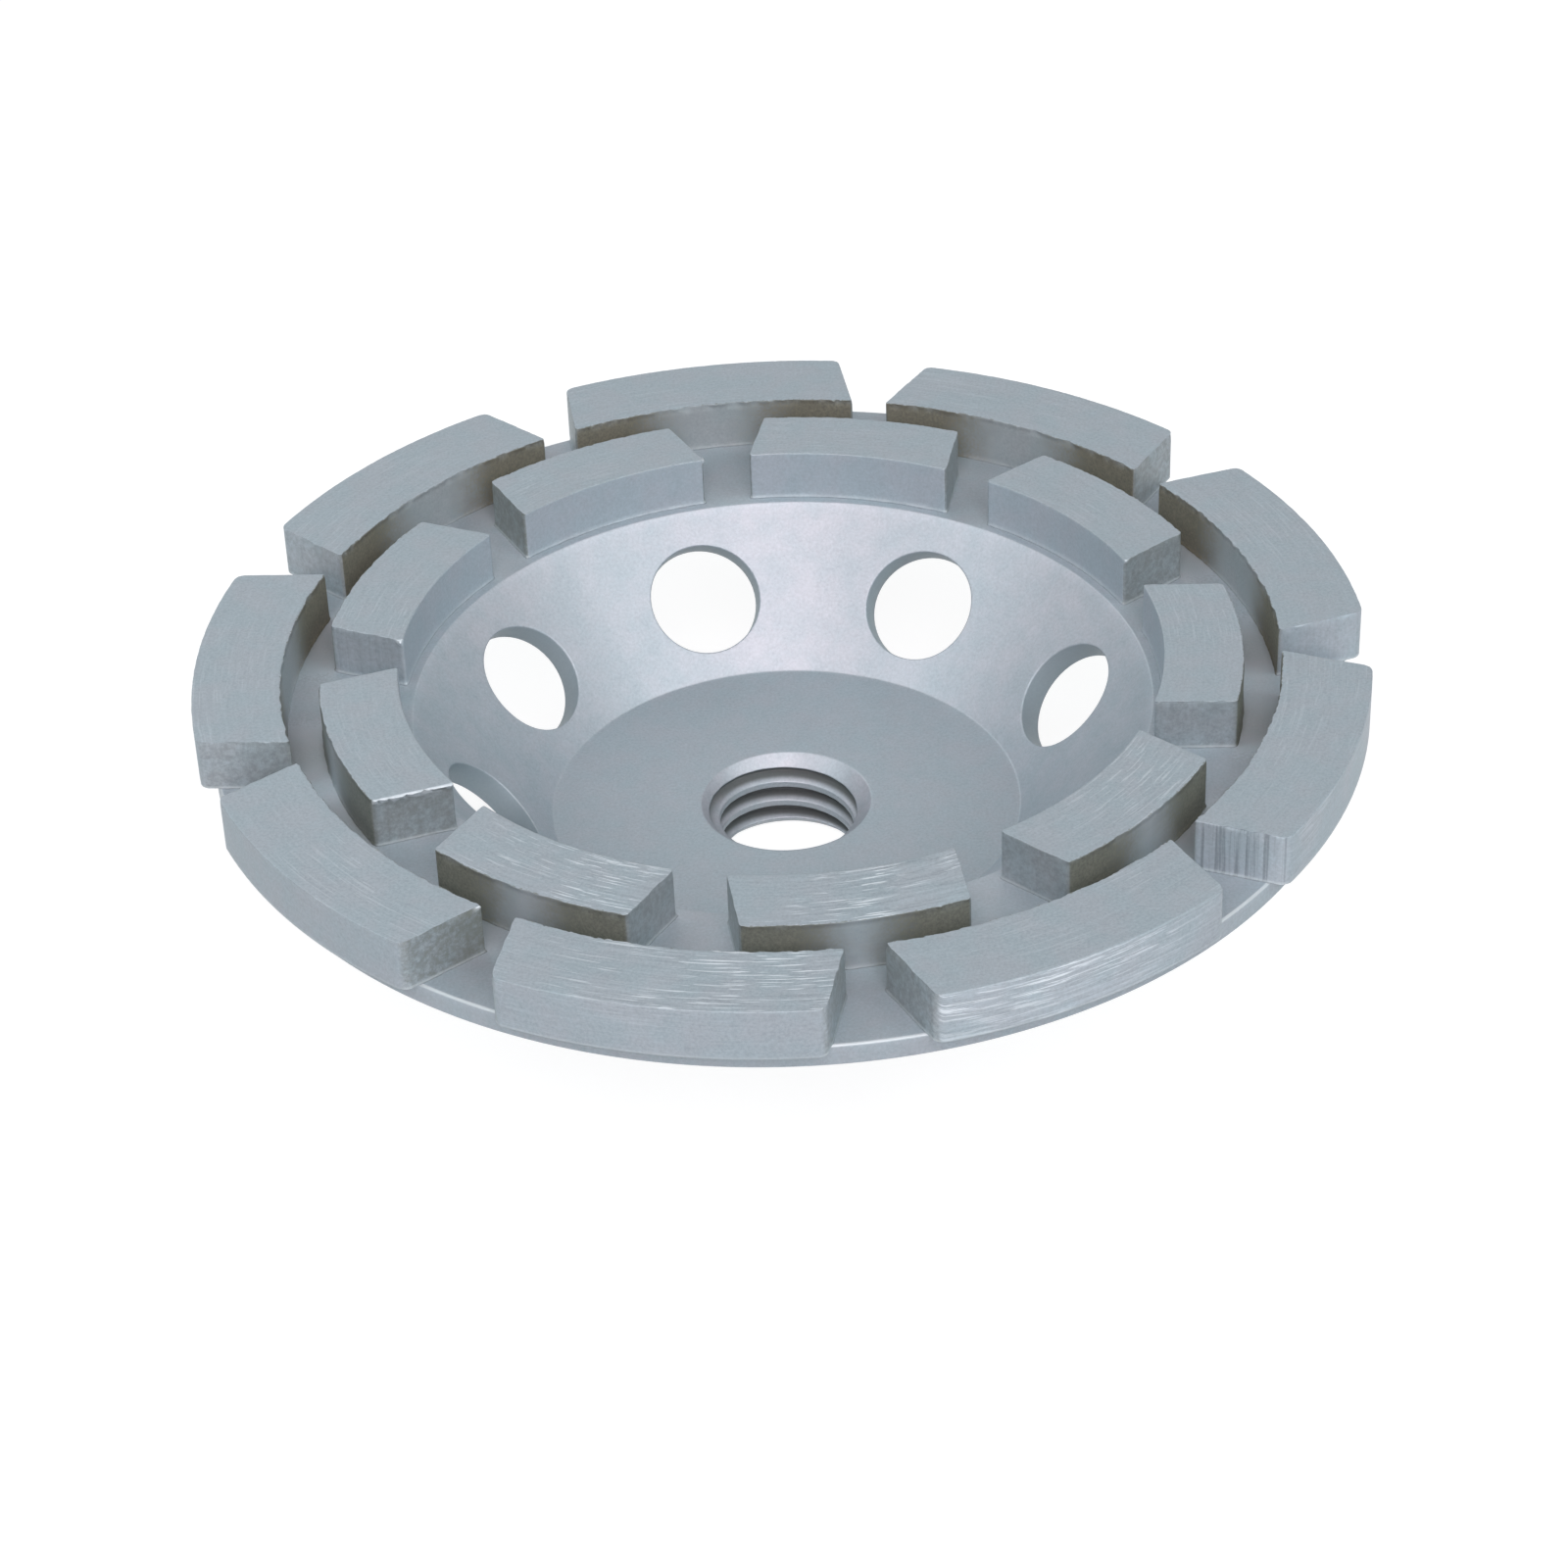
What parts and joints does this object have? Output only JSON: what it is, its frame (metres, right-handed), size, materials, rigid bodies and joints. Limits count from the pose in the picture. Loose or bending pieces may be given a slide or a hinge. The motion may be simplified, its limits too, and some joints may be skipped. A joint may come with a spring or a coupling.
{
  "type": "diamond cup wheel",
  "caption": "Double-row segmented diamond cup wheel for surface grinding concrete and stone, with a threaded spindle hub and a vented conical steel cup.",
  "frame": {"origin": "centre of the hub's back face, where the wheel seats on the grinder's spindle shoulder", "axes": "+Z along the spindle axis from the hub towards the grinding face; +X and +Y span the wheel's plane, and the picture looks along +Y"},
  "size_m": [0.1149, 0.115, 0.0265],
  "materials": {
    "cup_steel": "thin silver-grey spray over turned steel",
    "diamond_segment": "sintered metal and diamond grit, ground flat, with a thin silver-grey spray"
  },
  "bodies": {
    "root": {"cup_body": "cup_steel", "outer_segment_1": "diamond_segment", "outer_segment_2": "diamond_segment", "outer_segment_3": "diamond_segment", "outer_segment_4": "diamond_segment", "outer_segment_5": "diamond_segment", "outer_segment_6": "diamond_segment", "outer_segment_7": "diamond_segment", "outer_segment_8": "diamond_segment", "outer_segment_9": "diamond_segment", "inner_segment_1": "diamond_segment", "inner_segment_2": "diamond_segment", "inner_segment_3": "diamond_segment", "inner_segment_4": "diamond_segment", "inner_segment_5": "diamond_segment", "inner_segment_6": "diamond_segment", "inner_segment_7": "diamond_segment", "inner_segment_8": "diamond_segment", "inner_segment_9": "diamond_segment"}
  },
  "joints": []
}
